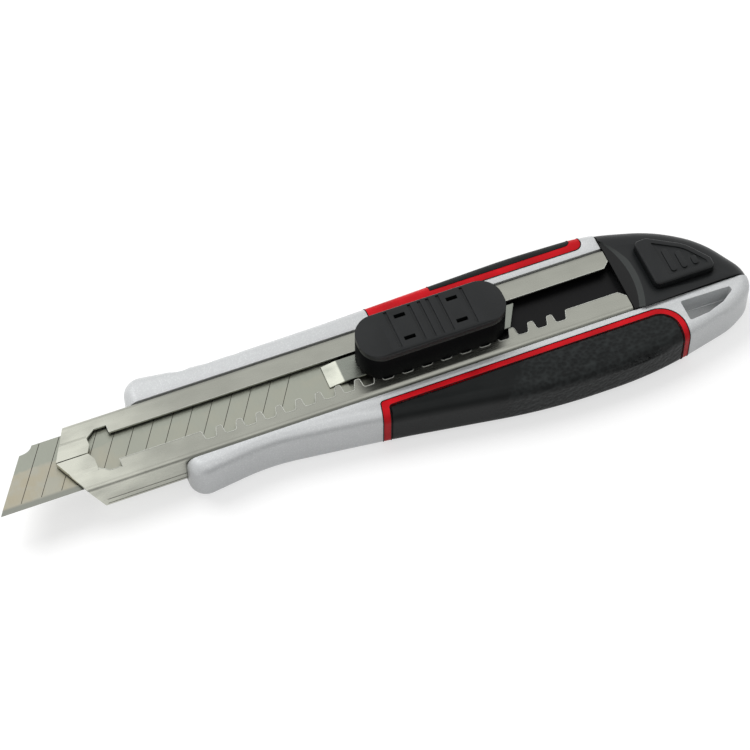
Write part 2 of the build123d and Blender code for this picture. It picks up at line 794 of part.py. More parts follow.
with BuildPart() as trim_upper:
    add(trim_skin(upper_region(upper_trim_x, upper_trim_y, 0, upper_trim_corner)))
    grip_seat = upper_region(upper_grip_x, upper_grip_y, mould_gap, upper_grip_corner)
    add(trim_prism(grip_seat), mode=Mode.SUBTRACT)
trim_upper.part.label = "trim_upper"
export_step(trim_upper.part, "parts/trim_upper.step")

# ---- Screws from the back ---------------------------------------------------------------------------
with BuildPart() as channel_screws:
    for place in screw_places:
        with BuildSketch(Plane.XY.offset(screw_head_sink)):
            with Locations((place, 0)):
                Circle(screw_radius)
        extrude(amount=rail_floor + sheet - screw_head_sink)
        with BuildSketch(Plane.XY.offset(screw_head_sink)):
            with Locations((place, 0)):
                Circle(screw_head_radius - screw_head_sink - screw_gap)
        with BuildSketch(Plane.XY.offset(screw_head_sink + screw_head_height)):
            with Locations((place, 0)):
                Circle(screw_radius)
        loft()
        with BuildSketch(Plane.XY.offset(screw_head_sink)):
            with Locations((place, 0)):
                RegularPolygon(screw_socket_radius, 6)
        extrude(amount=screw_recess, mode=Mode.SUBTRACT)
channel_screws.part.label = "channel_screws"
export_step(channel_screws.part, "parts/channel_screws.step")

# ---- Tail cap: shell, plug, catch and thumb pad --------------------------------------------------------
def pad_plan(inset=0.0):
    """The thumb pad's plan, all round inset."""
    with BuildSketch() as plan:
        add(rounded_plan(pad_corners))
        if inset:
            offset(amount=-inset)
    return plan.sketch


plug_bottom = tray_floor_top + plug_clearance
plug_top = deck_top - tray_deck - plug_clearance
plug_front_x = tray_rear_x - plug_reach
plug_half_width = tray_inner - plug_clearance

with BuildPart() as end_cap:
    add(body_form(cap_height, edge_radius=cap_edge_radius))
    with BuildSketch(Plane.XY.offset(-big / 2)):
        with Locations((cap_front_x, cap_side_y)):
            Rectangle(big, big, align=(Align.MIN, Align.MIN))
    extrude(amount=big, mode=Mode.INTERSECT)
    # Hollow, open to the front.
    with BuildPart(mode=Mode.PRIVATE) as cap_hollow:
        hollow_height = cap_height + cap_wall - cap_roof
        add(body_form(hollow_height, cap_wall, cap_edge_radius))
        with BuildSketch(Plane.XY.offset(-big / 2)):
            with Locations((cap_front_x - big / 2, cap_side_y + cap_wall)):
                Rectangle(big, big, align=(Align.MIN, Align.MIN))
        extrude(amount=big, mode=Mode.INTERSECT)
    add(cap_hollow.part, mode=Mode.SUBTRACT)
    with BuildSketch(Plane.XY.offset(cap_height - cap_roof / 2)):
        add(pad_plan())
    extrude(amount=cap_wall, mode=Mode.SUBTRACT)
    # A crescent along the front lies a step lower, for a fingernail.
    with BuildSketch(Plane.XY.offset(cap_height - nail_step)):
        with Locations((cap_front_x + nail_reach - nail_radius, 0)):
            Circle(nail_radius)
    extrude(amount=cap_wall, mode=Mode.SUBTRACT)
end_cap.part.label = "end_cap"
export_step(end_cap.part, "parts/end_cap.step")

with BuildPart() as thumb_pad:
    with BuildSketch(Plane.XY.offset(cap_height - cap_roof / 2)):
        add(pad_plan(mould_gap))
    extrude(amount=cap_roof / 2 + pad_rise)
    top_face = thumb_pad.faces().sort_by(Axis.Z)[-1]
    fillet(top_face.edges(), radius=pad_edge_radius)
    # A recessed panel with three round-ended bars that get shorter towards the tail.
    with BuildSketch(Plane.XY.offset(cap_height + pad_rise - pad_recess_depth)):
        add(pad_plan(pad_recess_margin))
        with Locations((pad_strip_end_x, 0)):
            Rectangle(big, big, align=(Align.MAX, Align.CENTER), mode=Mode.SUBTRACT)
        for bar_x, bar_top in pad_bars:
            with Locations((bar_x, (bar_top + pad_bar_low_y) / 2)):
                bar_length = bar_top - pad_bar_low_y
                RectangleRounded(pad_bar_width, bar_length, 0.45 * pad_bar_width, mode=Mode.SUBTRACT)
    extrude(amount=pad_rise, mode=Mode.SUBTRACT)
thumb_pad.part.label = "thumb_pad"
export_step(thumb_pad.part, "parts/thumb_pad.step")

with BuildPart() as cap_plug:
    with BuildSketch(Plane.XY.offset(plug_bottom)):
        with Locations((plug_front_x, 0)):
            Rectangle(plug_length, 2 * plug_half_width, align=(Align.MIN, Align.CENTER))
    extrude(amount=plug_top - plug_bottom)
    chamfer(cap_plug.faces().sort_by(Axis.X)[0].edges(), length=2 * plug_clearance)
    # Posts carry the plug between the cap's floor and roof.
    with BuildSketch(Plane.XY.offset(cap_wall)):
        for post_y in (-plug_half_width + plug_post_radius, plug_half_width - plug_post_radius):
            with Locations((plug_post_x, post_y)):
                Circle(plug_post_radius)
    extrude(amount=cap_height - cap_wall - cap_roof)
cap_plug.part.label = "cap_plug"
export_step(cap_plug.part, "parts/cap_plug.step")

with BuildPart() as cap_catch:
    with BuildSketch(Plane.XY.offset(plug_top)):
        with Locations((plug_post_x - plug_post_radius, 0)):
            Rectangle(catch_length, catch_width, align=(Align.MIN, Align.CENTER))
    extrude(amount=catch_sheet)
cap_catch.part.label = "cap_catch"
export_step(cap_catch.part, "parts/cap_catch.step")
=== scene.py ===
"""Dresses a snap-off utility knife: silver casting, red trims, black grips and a steel channel."""

import math

import bmesh
import bpy
from bpy.props import FloatProperty, FloatVectorProperty, IntProperty, PointerProperty
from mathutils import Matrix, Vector


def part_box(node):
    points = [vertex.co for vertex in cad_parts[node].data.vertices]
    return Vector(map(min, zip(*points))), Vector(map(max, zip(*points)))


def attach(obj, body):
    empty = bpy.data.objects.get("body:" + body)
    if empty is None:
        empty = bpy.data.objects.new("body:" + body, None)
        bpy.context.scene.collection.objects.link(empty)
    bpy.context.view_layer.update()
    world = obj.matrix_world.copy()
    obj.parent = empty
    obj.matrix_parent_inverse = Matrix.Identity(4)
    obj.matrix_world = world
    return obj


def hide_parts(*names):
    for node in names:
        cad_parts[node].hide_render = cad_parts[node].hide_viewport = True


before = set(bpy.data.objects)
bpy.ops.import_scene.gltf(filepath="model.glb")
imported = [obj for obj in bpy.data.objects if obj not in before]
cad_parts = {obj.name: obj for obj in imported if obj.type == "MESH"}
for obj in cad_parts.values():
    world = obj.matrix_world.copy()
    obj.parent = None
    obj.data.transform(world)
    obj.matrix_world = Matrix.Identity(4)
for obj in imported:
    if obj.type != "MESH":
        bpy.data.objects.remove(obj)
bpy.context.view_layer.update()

bl_info = {
    "name": "Utility Knife Dresser",
    "version": (1, 0, 0),
    "blender": (4, 5, 0),
    "location": "3D View > Sidebar > Knife",
    "description": "Builds the visible pieces and finishes of a snap-off utility knife",
    "category": "Object",
}

MM = 0.001


def linear(code):
    """The linear colour, with alpha, of an sRGB hex code."""
    channels = [int(code[i : i + 2], 16) / 255 for i in (0, 2, 4)]
    flat = [c / 12.92 if c <= 0.04045 else ((c + 0.055) / 1.055) ** 2.4 for c in channels]
    return tuple(flat) + (1.0,)


def colour(name, description, code):
    """A colour property whose default is an sRGB hex code."""
    limits = {"subtype": "COLOR", "size": 4, "min": 0.0, "max": 1.0}
    return FloatVectorProperty(name=name, description=description, default=linear(code), **limits)


def length(name, description, millimetres):
    """A length property whose default is given in millimetres."""
    kind = {"subtype": "DISTANCE", "unit": "LENGTH"}
    return FloatProperty(name=name, description=description, default=millimetres * MM, **kind)


# Places that the builders share, from the knife's back, centre line and slider.
LIP_TOP = 14.0 * MM
LIP_SIDE = 9.2 * MM  # from the centre line to just inside the lips' folds
MOUTH = -106.0 * MM  # the front of the blade channel
MOUTH_HIGHLIGHT_LENGTH = 38.0 * MM  # how far behind the mouth a painted highlight brightens the sheet
WALL_LINE_HEIGHTS = (0.18, 0.36)  # of the rolled lines, as shares of the side wall's height
WALL_LINE_START = 10.0 * MM  # behind the channel's foremost point
SNAP_SLOPE = math.tan(math.radians(57.8))  # of the snap lines, which lean like the front edge
SNAP_MARGIN = 0.05 * MM  # from the oxide's ends to the bevel and the spine
SNAP_DEPTHS = (0.09 * MM, 0.01 * MM)  # of the oxide's foot and top under the blade's face
HOOK_SLOPE = 3.0 * MM  # length of the slope at the front of the carrier's hook
HOOK_FRONT = 0.5 * MM  # what lies nearer to the hook's tip than this moves with it
NAIL_CENTRE = Vector((32.0 * MM, 0.0))  # of the arc of the crescent on the cap
NAIL_RADIUS = 27.8 * MM
NAIL_TOP = 13.7 * MM  # where the arc meets the cap's front, from the centre line
NAIL_FADE = 9.0 * MM  # length over which the crescent's slope fades out at its upper end
WINDOW = (Vector((68 * MM, -21 * MM)), Vector((85 * MM, -12.5 * MM)))  # round the lanyard window
WINDOW_SEAM = 0.55  # height of the window's parting line, as a share of the casting's
JOINT_FOOT = 0.5 * MM  # the trims' edges below this lie on the flat back and have no joint
GRAIN_START = 30.3 * MM  # where the leather grain starts on the centre line
GRAIN_LEAN = -0.888  # how far that start shifts along X for each metre along Y
GRAIN_FADE = 6.0 * MM
CREASE = [  # the hollow along the lower grip
    Vector((x * MM, y * MM))
    for x, y in ((-18, -15.2), (6, -17.2), (28, -22.4), (45, -24.0), (63, -28))
]

# How meshes are cleaned and shaded.
MERGE = 0.002 * MM  # points of a CAD mesh closer than this are one
FLAT_ANGLE = math.radians(0.4)  # triangles that lean less than this are joined
FLAT = 6.0 * MM * MM  # a face larger than this is a flat with creased edges
SHALLOW = math.radians(2)  # flats that meet at more than this have a crease between them
SAME_HEIGHT = 0.01 * MM  # points of an outline lie at its height within this
WALL_Z = 0.3  # a face whose normal has less Z than this is a wall
TOP_Z = 0.9  # and one whose normal has more than this is a top
SHEET_EDGE = 0.6  # width of the sheet's edges, as a share of the broken edges'
MOULDED_EDGE = 1.5  # and of the moulded and cast pieces' edges
NOISE = (0.35, 0.65)  # between these lie most values of a noise texture
NOISE_TAILS = (0.3, 0.7)  # and between these nearly all

# The studio. Mirrors see patches on a level white. Each has a direction, the cosines from it where
# the patch starts and where it is full, and what it adds.
MIRROR_LEVEL = 0.9
MIRROR_PATCHES = (
    ((-0.25, 0.5, 0.84), 0.85, 0.99, 0.45),  # soft box over the nose
    ((0.5, 0.45, 0.72), 0.95, 0.99, 0.3),  # smaller one over the tail
    ((0.15, -0.45, 0.88), 0.94, 0.99, 0.5),  # low one along the cutting edge's side
    ((0.1, -0.98, 0.14), 0.8, 0.93, -0.55),  # dark flag under it, which draws the folds
)
SOFT_LEVEL = 0.5  # of the light that matt surfaces get from all round
PAPER_GLOW = 0.6  # what the paper adds where a camera or a mirror sees it
LAMPS = (  # name, place and diameter in metres, power in watts
    ("key", (-0.3, 0.5, 0.9), 0.7, 9.0),
    ("fill", (0.5, -0.7, 0.7), 0.9, 0.2),
)
FLOOR_HALF = 2.0
FLOOR_Z = -0.05 * MM  # just under the knife's back, so that the two faces don't flicker
CAMERA_PLACE = Vector((-168.45, -380.21, 621.35)) * MM
CAMERA_AZIMUTH = math.radians(-21.83)
CAMERA_ELEVATION = math.radians(56.35)
CAMERA_LENS = 129.9  # mm on a sensor 36 mm wide
SENSOR = 36.0
VISIBLE = (0.01, 20.0)  # how near and how far the camera sees, in metres
WHITE = (1.0, 1.0, 1.0, 1.0)

# ---- What a user would change ------------------------------------------------------------------


class KnifeColours(bpy.types.PropertyGroup):
    """Colours of the knife's finishes."""

    paint: colour("Paint", "Silver paint of the casting", "C2C4C5")
    paint_flake: colour("Paint flake", "Brighter flakes in the silver paint", "D4D6D6")
    sheet: colour("Sheet steel", "Stainless sheet of the blade channel", "A3A49B")
    # Painted highlight: the paler colour the sheet takes towards the mouth.
    sheet_mouth_highlight: colour("Sheet mouth highlight", "Sheet at the mouth, rubbed bright by the blade", "CFD0C4")
    # Painted highlight: the burr bead is real, but its pale colour stands in for the glint along
    # the edge.
    burr: colour("Burr", "Bright sheared edge of the sheet", "CDCFC7")
    carrier: colour("Carrier", "Sheet of the blade carrier", "8C9088")
    # Painted highlight: the hook's slope is painted paler than the carrier, where it catches the
    # light.
    hook: colour("Hook", "Bright slope of the carrier's hook", "D6D8CB")
    blade: colour("Blade steel", "Ground face of the blade", "9FA297")
    # Painted reflection: a warmer, paler lower half of the blade near the tip.
    blade_warm_reflection: colour("Blade warm reflection", "Lower half of the blade near the tip", "AEAC9F")
    # Painted reflection: the tan patches within that lower half.
    blade_tan_reflection: colour("Blade tan reflection", "Tan tint from tempering near the tip", "AEA895")
    blade_edge: colour("Blade edge", "Honed bevel of the blade", "92948C")
    spring: colour("Spring steel", "Pawl, catch and magazine spring", "A8A79E")
    zinc: colour("Zinc", "Plating of the screws", "9FA3A6")
    trim: colour("Trim", "Red rubber of the trims", "AE0D17")
    rubber: colour("Rubber", "Black rubber of the grips", "111313")
    plastic: colour("Plastic", "Black plastic of slider and cap", "111314")
    # Painted shade: the nick in front of the crescent is painted darker than the cap.
    nick_shade: colour("Nick shade", "Black plastic of the cap in front of its crescent", "020303")
    # Painted highlight: the crescent's slope is painted paler than the cap.
    cap_slope_highlight: colour("Cap slope highlight", "Slope of the cap's crescent, rubbed by the thumb", "2B2E2D")
    # Painted shade: darker than the slider's top, for the slider's shaded sides.
    skirt: colour("Skirt", "Black plastic of the slider's sides", "08090A")
    tray: colour("Tray", "Black plastic of the magazine", "070708")
    score: colour("Score", "Dark oxide in the snap lines and the rolled lines", "4A4741")
    floor: colour("Floor", "Pale studio floor", "B0B0B0")


class KnifeSizes(bpy.types.PropertyGroup):
    """Sizes of the details that Blender adds."""

    edge: length("Edge", "Width of the broken edges on sheet and plastic", 0.16)
    burr: length("Burr", "Radius of the bright burr along a sheared edge", 0.12)
    skin: length("Skin", "Mesh size of the moulded rubber skins", 0.42)
    crease: length("Crease", "Depth of the hollow along the lower grip", 0.5)
    crease_width: length("Crease width", "Half width of the hollow along the lower grip", 2.2)
    score: length("Rolled line", "Radius of the fine lines along the channel's side walls", 0.08)
    first_snap: length("First snap", "Distance from the blade's tip to its first snap line", 4.9)
    snap_pitch: length("Snap pitch", "Distance between the blade's snap lines", 5.57)
    snap_width: length("Snap width", "Width of the oxide in a snap line", 0.17)
    bevel: length("Bevel", "Width of the blade's honed bevel", 1.8)
    seam: length("Parting line", "Radius of the raised parting line in the lanyard window", 0.26)
    joint: length("Joint", "Radius of the dark joint between rubber, trim and casting", 0.15)
    nail: length("Nail slope", "Width of the slope beside the crescent on the cap", 1.7)
    hook_reach: length("Hook reach", "What the carrier's hook reaches further over the blade", 1.4)
    hook_tip: length("Hook tip", "How much thinner the carrier's hook gets towards its tip", 0.25)
    flake: length("Flake", "Size of the flakes in the paint", 0.22)
    grain: length("Grain", "Size of the leather grain on the grip", 1.1)
    brush: length("Brush", "Spacing of the brush lines on steel", 0.14)
    snap_lines: IntProperty(
        name="Snap lines", description="Snap lines on a blade", default=14, min=0
    )
    bead_sides: IntProperty(
        name="Bead sides", description="Faces around a bead", default=6, min=3, max=12
    )


# ---- Meshes ------------------------------------------------------------------------------------


def link(name, mesh):
    """A new object for a mesh, at the origin."""
    piece = bpy.data.objects.new(name, mesh)
    bpy.context.scene.collection.objects.link(piece)
    return piece


def settle(piece):
    """Turn a piece with modifiers into its plain evaluated mesh."""
    graph = bpy.context.evaluated_depsgraph_get()
    mesh = bpy.data.meshes.new_from_object(piece.evaluated_get(graph), depsgraph=graph)
    piece.modifiers.clear()
    piece.data = mesh
    mesh.name = piece.name


def shade(piece, angle=32):
    """Smooth shading that keeps sharp edges, and shallow creases between large flats."""
    piece.data.shade_smooth()
    piece.data.set_sharp_from_angle(angle=math.radians(angle))
    form = bmesh.new()
    form.from_mesh(piece.data)
    for edge in form.edges:
        if len(edge.link_faces) == 2 and min(f.calc_area() for f in edge.link_faces) > FLAT:
            edge.smooth = edge.smooth and edge.calc_face_angle() < SHALLOW
    form.to_mesh(piece.data)
    form.free()


def cad_form(node):
    """A CAD node's mesh with its doubles merged, for editing."""
    form = bmesh.new()
    form.from_mesh(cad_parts[node].data)
    bmesh.ops.remove_doubles(form, verts=form.verts, dist=MERGE)
    return form


def cad_copy(node, name):
    """A merged copy of a CAD node's mesh, with its flat triangles joined, as a new object."""
    form = cad_form(node)
    bmesh.ops.dissolve_degenerate(form, edges=form.edges, dist=0.5 * MERGE)
    bmesh.ops.dissolve_limit(form, angle_limit=FLAT_ANGLE, verts=form.verts, edges=form.edges)
    mesh = bpy.data.meshes.new(name)
    form.to_mesh(mesh)
    form.free()
    for layer in ("custom_normal", "sharp_edge", "sharp_face"):
        if layer in mesh.attributes:
            mesh.attributes.remove(mesh.attributes[layer])
    return link(name, mesh)


def soften(piece, width, segments=2, angle=35):
    """Break a piece's sharp edges by a width in metres."""
    bevel = piece.modifiers.new("Broken edges", "BEVEL")
    bevel.width = width
    bevel.segments = segments
    bevel.limit_method = "ANGLE"
    bevel.angle_limit = math.radians(angle)
    bevel.use_clamp_overlap = True
    settle(piece)


def broken_copy(node, name, width, segments=2, angle=32):
    """A shaded copy of a CAD node with its sharp edges broken."""
    piece = cad_copy(node, name)
    soften(piece, width, segments)
    shade(piece, angle)
    return piece


def moulded_skin(piece, cell, smoothing=6):
    """Rebuild a piece as an even mesh with soft moulded edges."""
    remesh = piece.modifiers.new("Even mesh", "REMESH")
    remesh.mode = "VOXEL"
    remesh.voxel_size = cell
    smooth = piece.modifiers.new("Moulded", "SMOOTH")
    smooth.factor = 0.5
    smooth.iterations = smoothing
    settle(piece)


def finish(piece, material, body, slot, *nodes):
    """Give a piece its material and its body, and let it stand for CAD nodes by hiding them. The
    slot is not used.
    """
    if not piece.data.materials:
        piece.data.materials.append(material)
    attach(piece, body)
    if nodes:
        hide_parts(*nodes)


def dress(node, material):
    """Put a material on a CAD node."""
    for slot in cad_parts[node].material_slots:
        slot.material = material


def distance_to_path(point, path):
    """How far a point lies from a path of straight runs, in plan."""
    nearest = math.inf
    for start, end in zip(path, path[1:]):
        run = end - start
        share = min(1.0, max(0.0, (point - start).dot(run) / run.length_squared))
        nearest = min(nearest, (point - start - share * run).length)
    return nearest


def hollow_along(piece, path, depth, width):
    """Press a soft hollow into a piece's upper side along a path in plan."""
    for vertex in piece.data.vertices:
        if vertex.normal.z > 0.1:
            away = distance_to_path(vertex.co.to_2d(), path) / width
            vertex.co -= vertex.normal * depth * math.exp(-away * away)


def nail_share(point):
    """How much of its full width the crescent's slope has beside a point: none at its upper end."""
    return min(1.0, max(0.0, (NAIL_TOP - point.y) / NAIL_FADE))


def draw_out_nail(piece, width):
    """Draw the step of the cap's crescent out to a slope."""
    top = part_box("end_cap")[1].z
    near = 0.02 * MM
    for vertex in piece.data.vertices:
        out = vertex.co.to_2d() - NAIL_CENTRE
        if abs(out.length - NAIL_RADIUS) < near and abs(vertex.co.z - top) < near:
            vertex.co += (out.normalized() * width * nail_share(vertex.co)).to_3d()


def crease_nail(piece, width):
    """Keep both edges of the crescent's slope crisp."""
    foot_reach, head_reach = 0.03 * MM, 0.15 * MM
    points = [vertex.co for vertex in piece.data.vertices]
    for edge in piece.data.edges:
        ends = [points[i] for i in edge.vertices]
        away = [(p.to_2d() - NAIL_CENTRE).length - NAIL_RADIUS for p in ends]
        foot = all(abs(a) < foot_reach for a in away)
        head = all(abs(a - width * nail_share(p)) < head_reach for a, p in zip(away, ends))
        if foot or head:
            edge.use_edge_sharp = True


def edge_lines(node, keep):
    """Lines along the edges of a CAD node for which keep(edge, its end points) is true."""
    form = cad_form(node)
    lines = []
    for edge in form.edges:
        ends = [v.co for v in edge.verts]
        if len(edge.link_faces) == 2 and keep(edge, ends):
            lines.append([tuple(p) for p in ends])
    form.free()
    return lines


def outline_edges(node, level, keep):
    """Lines along the upper outline of a CAD node at a height, where keep(point) is true."""

    def on_outline(edge, ends):
        if any(abs(p.z - level) > SAME_HEIGHT for p in ends):
            return False
        wall, top = sorted(abs(face.normal.z) for face in edge.link_faces)
        return wall < WALL_Z and top > TOP_Z and all(keep(p) for p in ends)

    return edge_lines(node, on_outline)


def sharp_edges(node, angle, lowest):
    """Lines along a CAD node's edges above a height that are sharper than an angle in degrees."""

    def is_sharp(edge, ends):
        return min(p.z for p in ends) >= lowest and edge.calc_face_angle() > math.radians(angle)

    return edge_lines(node, is_sharp)


def slab(name, outline, low, high):
    """An upright prism over an outline of (x, y) points, between two heights."""
    form = bmesh.new()
    foot = [form.verts.new((x, y, low)) for x, y in outline]
    bottom = form.faces.new(foot)
    lifted = bmesh.ops.extrude_face_region(form, geom=[bottom])["geom"]
    top = [v for v in lifted if isinstance(v, bmesh.types.BMVert)]
    bmesh.ops.translate(form, verts=top, vec=(0, 0, high - low))
    bmesh.ops.recalc_face_normals(form, faces=form.faces)
    mesh = bpy.data.meshes.new(name)
    form.to_mesh(mesh)
    form.free()
    return link(name, mesh)


# ---- Geometry Nodes ----------------------------------------------------------------------------


def tree_with(name, sockets):
    """A Geometry Nodes tree with a geometry input and output and the named inputs."""
    tree = bpy.data.node_groups.new(name, "GeometryNodeTree")
    tree.interface.new_socket("Geometry", in_out="INPUT", socket_type="NodeSocketGeometry")
    for label, kind in sockets.items():
        tree.interface.new_socket(label, in_out="INPUT", socket_type=kind)
    tree.interface.new_socket("Geometry", in_out="OUTPUT", socket_type="NodeSocketGeometry")
    return tree


def add_node(tree, kind, inputs=(), **settings):
    """Add a node with its settings; an input is a value or another node's output."""
    made = tree.nodes.new(kind)
    for key, value in settings.items():
        setattr(made, key, value)
    for key, value in dict(inputs).items():
        if isinstance(value, bpy.types.NodeSocket):
            tree.links.new(value, made.inputs[key])
        else:
            made.inputs[key].default_value = value
    return made


def run_tree(piece, tree, values):
    """Run a tree on a piece with its inputs set by identifier, and keep the plain mesh."""
    modifier = piece.modifiers.new(tree.name, "NODES")
    modifier.node_group = tree
    for item in tree.interface.items_tree:
        if item.item_type == "SOCKET" and item.name in values:
            modifier[item.identifier] = values[item.name]
    settle(piece)


def end_tree(tree, given, geometry):
    """End a tree with real geometry that wears the tree's material input."""
    real = add_node(tree, "GeometryNodeRealizeInstances", {"Geometry": geometry})
    dressed = add_node(
        tree,
        "GeometryNodeSetMaterial",
        {"Geometry": real.outputs["Geometry"], "Material": given.outputs["Material"]},
    )
    add_node(tree, "NodeGroupOutput", {"Geometry": dressed.outputs["Geometry"]})
    return tree


def bead_tree():
    """Sweeps a round bead along the edges of a mesh."""
    tree = tree_with(
        "Bead along edges",
        {
            "Radius": "NodeSocketFloat",
            "Sides": "NodeSocketInt",
            "Material": "NodeSocketMaterial",
        },
    )
    given = add_node(tree, "NodeGroupInput")
    path = add_node(tree, "GeometryNodeMeshToCurve", {"Mesh": given.outputs["Geometry"]})
    ring = add_node(
        tree,
        "GeometryNodeCurvePrimitiveCircle",
        {"Resolution": given.outputs["Sides"], "Radius": given.outputs["Radius"]},
    )
    bead = add_node(
        tree,
        "GeometryNodeCurveToMesh",
        {"Curve": path.outputs["Curve"], "Profile Curve": ring.outputs["Curve"], "Fill Caps": True},
    )
    return end_tree(tree, given, bead.outputs["Mesh"])


def bead_along(name, lines, radius, sides, material):
    """A round bead along lines, each a list of points in metres."""
    mesh = bpy.data.meshes.new(name)
    points = []
    edges = []
    for line in lines:
        edges += [(len(points) + i, len(points) + i + 1) for i in range(len(line) - 1)]
        points += line
    mesh.from_pydata(points, edges, [])
    form = bmesh.new()
    form.from_mesh(mesh)
    bmesh.ops.remove_doubles(form, verts=form.verts, dist=0.01 * MM)
    form.to_mesh(mesh)
    form.free()
    piece = link(name, mesh)
    tree = bpy.data.node_groups.get("Bead along edges") or bead_tree()
    run_tree(piece, tree, {"Radius": radius, "Sides": sides, "Material": material})
    piece.data.shade_smooth()
    return piece


def row_of_bars_tree():
    """Repeats a bar along X: each copy of the incoming mesh stands one pitch behind the last."""
    tree = tree_with(
        "Row of bars",
        {
            "Count": "NodeSocketInt",
            "Pitch": "NodeSocketFloat",
            "Material": "NodeSocketMaterial",
        },
    )
    given = add_node(tree, "NodeGroupInput")
    step = add_node(tree, "ShaderNodeCombineXYZ", {"X": given.outputs["Pitch"]})
    points = add_node(
        tree,
        "GeometryNodeMeshLine",
        {"Count": given.outputs["Count"], "Offset": step.outputs["Vector"]},
    )
    copies = add_node(
        tree,
        "GeometryNodeInstanceOnPoints",
        {"Points": points.outputs["Mesh"], "Instance": given.outputs["Geometry"]},
    )
    return end_tree(tree, given, copies.outputs["Instances"])


# ---- Materials ---------------------------------------------------------------------------------


def new_material(name, colour_value, metallic, roughness):
    """A material with a principled shader: returns the material, its tree and the shader."""
    material = bpy.data.materials.new(name)
    material.use_nodes = True
    tree = material.node_tree
    shader = tree.nodes["Principled BSDF"]
    shader.inputs["Base Color"].default_value = colour_value
    shader.inputs["Metallic"].default_value = metallic
    shader.inputs["Roughness"].default_value = roughness
    return material, tree, shader


def scaled(base, factor):
    """A colour made lighter or darker by a factor."""
    return tuple(min(1.0, factor * c) for c in base[:3]) + (1.0,)


def maths(tree, operation, *values):
    """The result of a math node on values or other nodes' outputs."""
    return add_node(
        tree, "ShaderNodeMath", dict(enumerate(values)), operation=operation
    ).outputs["Value"]


def object_axes(tree):
    """The X, Y and Z of a piece's own coordinates, in metres."""
    place = add_node(tree, "ShaderNodeTexCoord")
    split = add_node(tree, "ShaderNodeSeparateXYZ", {"Vector": place.outputs["Object"]})
    return [split.outputs[axis] for axis in "XYZ"]


def object_pattern(tree, kind, cell, stretch=(1, 1, 1), **inputs):
    """A texture node on object coordinates whose cells are a given length in metres."""
    place = add_node(tree, "ShaderNodeTexCoord")
    scale = tuple(1 / (cell * s) for s in stretch)
    mapped = add_node(
        tree, "ShaderNodeMapping", {"Vector": place.outputs["Object"], "Scale": scale}
    )
    values = {"Vector": mapped.outputs["Vector"], "Scale": 1.0}
    values.update(inputs)
    return add_node(tree, kind, values)


def noise(tree, cell, detail, stretch=(1, 1, 1)):
    """Soft noise on object coordinates whose patches are a given length in metres."""
    return object_pattern(tree, "ShaderNodeTexNoise", cell, stretch, Detail=detail).outputs["Fac"]


def spread(tree, value, low, high, to_low=0.0, to_high=1.0):
    """Map a value's range to another one."""
    ranged = add_node(
        tree,
        "ShaderNodeMapRange",
        {"Value": value, "From Min": low, "From Max": high, "To Min": to_low, "To Max": to_high},
    )
    return ranged.outputs["Result"]


def blend_colours(tree, factor, first, second):
    """A colour between two others."""
    mixed = add_node(tree, "ShaderNodeMix", {"Factor": factor}, data_type="RGBA")
    for socket, value in ((6, first), (7, second)):
        if isinstance(value, bpy.types.NodeSocket):
            tree.links.new(value, mixed.inputs[socket])
        else:
            mixed.inputs[socket].default_value = value
    return mixed.outputs[2]


def bump(tree, shader, height, depth):
    """Give a shader relief from a height between 0 and 1, of a depth in metres."""
    relief = add_node(
        tree, "ShaderNodeBump", {"Height": height, "Distance": depth, "Strength": 1.0}
    )
    tree.links.new(relief.outputs["Normal"], shader.inputs["Normal"])


def vary_roughness(tree, shader, pattern, low, high):
    """Let a noise pattern vary a shader's roughness between two values."""
    tree.links.new(spread(tree, pattern, *NOISE_TAILS, low, high), shader.inputs["Roughness"])


def silver_lacquer(colours, sizes):
    """Zinc casting with silver metallic lacquer: fine bright flakes under a soft clear gloss."""
    material, tree, shader = new_material("Silver lacquered casting", colours.paint, 0.3, 0.4)
    flakes = object_pattern(tree, "ShaderNodeTexVoronoi", sizes.flake)
    sparkle = spread(tree, flakes.outputs["Color"], 0.55, 1.0)
    paint = blend_colours(tree, sparkle, colours.paint, colours.paint_flake)
    tree.links.new(paint, shader.inputs["Base Color"])
    vary_roughness(tree, shader, noise(tree, 9 * MM, 3.0), 0.34, 0.46)
    shader.inputs["Coat Weight"].default_value = 0.25
    shader.inputs["Coat Roughness"].default_value = 0.18
    orange_peel = noise(tree, 0.9 * MM, 2.0)
    bump(tree, shader, orange_peel, 0.02 * MM)
    return material


def brushed_steel(name, base, spacing, roughness, painted_highlight=None, span=None):
    """Cold-rolled stainless sheet brushed lengthwise: soft streaks and a warm grey shine.

    Between the two places of span along X it turns, in patches, to a paler colour: a painted
    highlight.
    """
    material, tree, shader = new_material(name, base, 1.0, roughness)
    lines = noise(tree, spacing, 2.0, (40, 1, 1))
    blotches = noise(tree, 6 * MM, 3.0, (2, 1, 1))
    vary_roughness(tree, shader, lines, roughness - 0.05, roughness + 0.07)
    dark = scaled(base, 0.9)
    face = blend_colours(tree, spread(tree, blotches, *NOISE), dark, base)
    face = blend_colours(tree, spread(tree, lines, *NOISE, 0.0, 0.35), face, dark)
    # Painted highlight: towards one end of the span the face turns paler in patches.
    if painted_highlight:
        x, _, _ = object_axes(tree)
        highlight_share = maths(tree, "MULTIPLY", spread(tree, x, *span), blotches)
        face = blend_colours(tree, spread(tree, highlight_share, 0.05, 0.55), face, painted_highlight)
    tree.links.new(face, shader.inputs["Base Color"])
    # The sheet is a little wavy, which breaks up what it mirrors.
    waves = noise(tree, 9 * MM, 1.0, (1.6, 1, 1))
    bump(tree, shader, maths(tree, "MULTIPLY_ADD", lines, 0.01, waves), 0.08 * MM)
    return material


